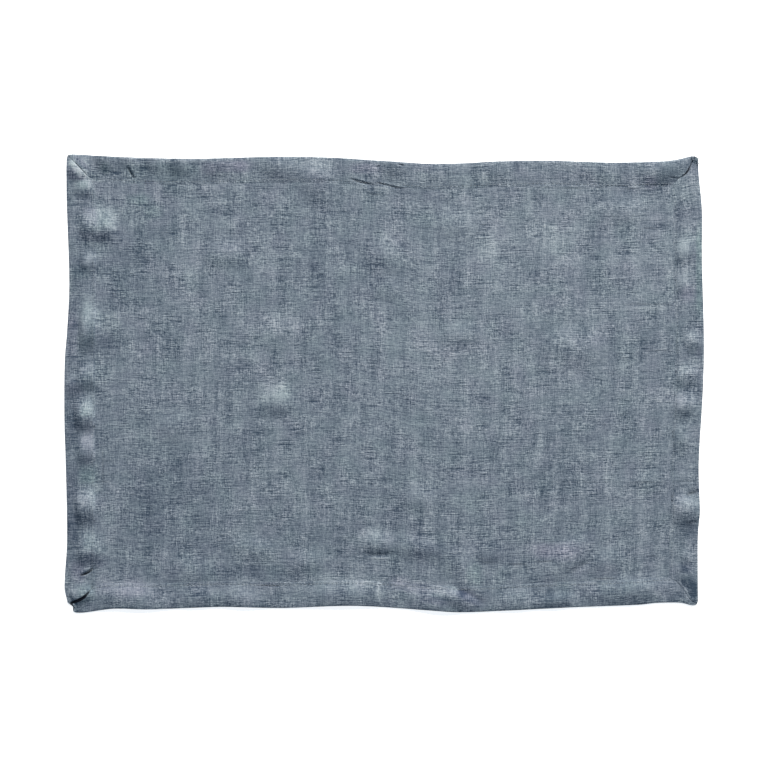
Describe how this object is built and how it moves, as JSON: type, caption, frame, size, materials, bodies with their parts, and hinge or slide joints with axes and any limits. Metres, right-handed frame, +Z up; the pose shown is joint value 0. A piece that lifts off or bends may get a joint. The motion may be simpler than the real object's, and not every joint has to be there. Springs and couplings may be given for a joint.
{
  "type": "fabric placemat",
  "caption": "Rectangular woven linen placemat lying flat, with wide folded hems, mitred corners and soft puckers along its edges.",
  "frame": {"origin": "middle of the underside, on the surface that the cloth lies on", "axes": "+X along the longer side, +Y towards the far long side, +Z up, out of the hem side"},
  "size_m": [0.5039, 0.361, 0.005],
  "materials": {
    "linen": "matt slub weave, blue-grey"
  },
  "bodies": {
    "root": {"placemat_cloth": "linen"}
  },
  "joints": []
}
